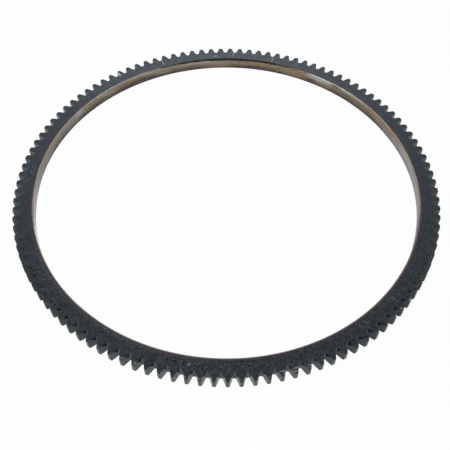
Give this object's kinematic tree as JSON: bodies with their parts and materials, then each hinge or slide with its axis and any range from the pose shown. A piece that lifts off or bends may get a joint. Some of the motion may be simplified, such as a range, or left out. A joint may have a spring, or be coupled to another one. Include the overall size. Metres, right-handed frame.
{
  "type": "flywheel ring gear",
  "caption": "One-piece steel starter ring gear with straight outside teeth and a plain bore that is shrunk onto a flywheel.",
  "frame": {"origin": "centre of the lower face, on the ring's axis", "axes": "+Z along the ring's axis, from the plain lower face to the upper face with the lead-in bevels; the middle of one tooth gap lies on +X"},
  "size_m": [0.2972, 0.2972, 0.009],
  "materials": {
    "ring_steel": "dark hardened steel with an oil-blackened scale, worn pale on the tooth tips and straw to violet heat tint in the bore"
  },
  "bodies": {
    "root": {"ring_gear": "ring_steel"}
  },
  "joints": []
}
